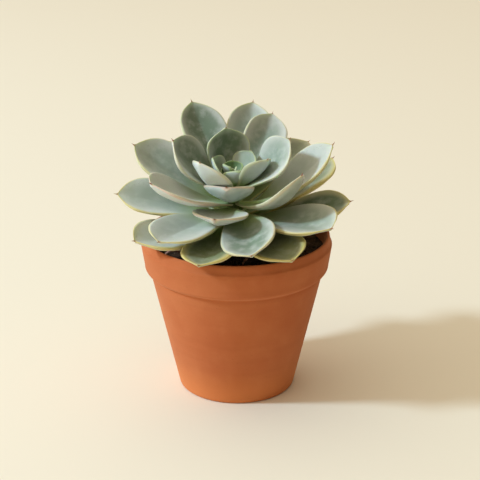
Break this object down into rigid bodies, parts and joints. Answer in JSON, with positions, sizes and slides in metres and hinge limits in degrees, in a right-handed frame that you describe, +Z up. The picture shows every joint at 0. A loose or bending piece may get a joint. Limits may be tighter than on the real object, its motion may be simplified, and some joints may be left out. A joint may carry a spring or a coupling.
{
  "type": "potted rosette succulent",
  "caption": "Fleshy blue-green rosette succulent on a short stem, growing in soil in a tapered clay pot with a deep rolled rim and a drain hole; it stands on its flat foot.",
  "frame": {"origin": "on the surface the pot stands on, under the middle of the whole plant's spread; the pot's own axis is 2 mm to +X of it", "axes": "+Z up the pot and the stem; -Y is the front, the side towards which the rosette leans; +X to the right seen from the front"},
  "size_m": [0.1361, 0.1334, 0.1598],
  "materials": {
    "terracotta": "matte fired clay, faintly mottled",
    "soil": "dark crumbly potting soil with a few pale grains",
    "stem": "pale green, slightly woody skin",
    "leaf": "waxy blue-green with a powdery bloom, yellow to pink edges and brown tips",
    "dry_leaf": "papery dry leaf, pale pink-brown"
  },
  "bodies": {
    "root": {"pot": "terracotta", "soil": "soil", "stem": "stem", "leaf_01": "leaf", "leaf_02": "leaf", "leaf_03": "leaf", "leaf_04": "leaf", "leaf_05": "leaf", "leaf_06": "leaf", "leaf_07": "leaf", "leaf_08": "leaf", "leaf_09": "leaf", "leaf_10": "leaf", "leaf_11": "leaf", "leaf_12": "leaf", "leaf_13": "leaf", "leaf_14": "leaf", "leaf_15": "leaf", "leaf_16": "leaf", "leaf_17": "leaf", "leaf_18": "leaf", "leaf_19": "leaf", "leaf_20": "leaf", "leaf_21": "leaf", "leaf_22": "leaf", "leaf_23": "leaf", "leaf_24": "leaf", "leaf_25": "leaf", "leaf_26": "leaf", "leaf_27": "leaf", "leaf_28": "leaf", "leaf_29": "leaf", "leaf_30": "leaf", "leaf_31": "leaf", "leaf_32": "leaf", "leaf_33": "leaf", "leaf_34": "leaf", "leaf_35": "leaf", "leaf_36": "leaf", "leaf_37": "leaf", "leaf_38": "leaf", "dry_scrap_1": "dry_leaf", "dry_scrap_2": "dry_leaf"}
  },
  "joints": []
}
